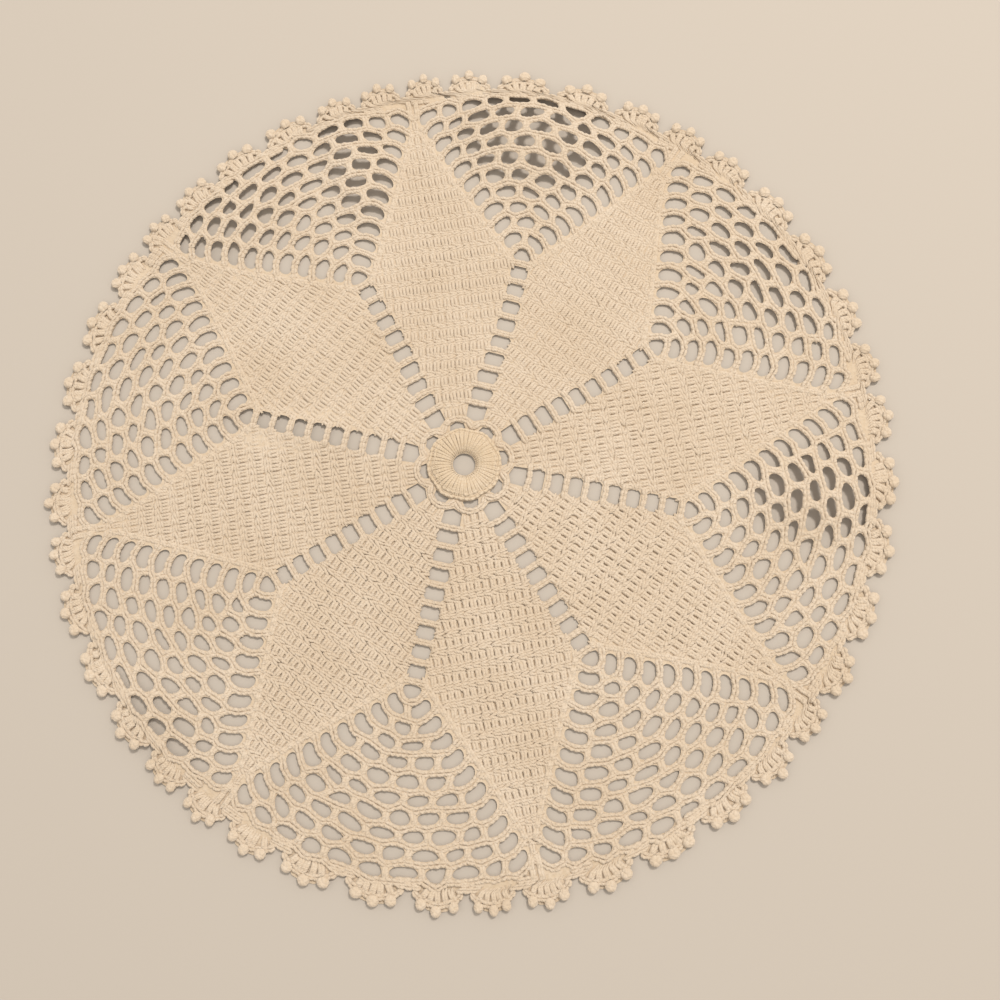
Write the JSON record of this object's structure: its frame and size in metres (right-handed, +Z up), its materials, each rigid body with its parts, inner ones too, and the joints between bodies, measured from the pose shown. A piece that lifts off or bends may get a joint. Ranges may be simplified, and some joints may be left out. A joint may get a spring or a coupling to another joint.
{
  "type": "lace doily",
  "caption": "Round crocheted cotton doily with solid petals, net fans between them and a scalloped shell edging, lying flat.",
  "frame": {"origin": "middle of the doily's box, on the plane that its underside rests on", "axes": "+Z up, out of the doily's right side; a bearing runs clockwise from +Y, and a petal points at a bearing of about 170 degrees, towards -Y"},
  "size_m": [0.2928, 0.2972, 0.0075],
  "materials": {
    "cotton": "matte ecru crochet cotton, not dyed"
  },
  "bodies": {
    "root": {"doily": "cotton"}
  },
  "joints": []
}
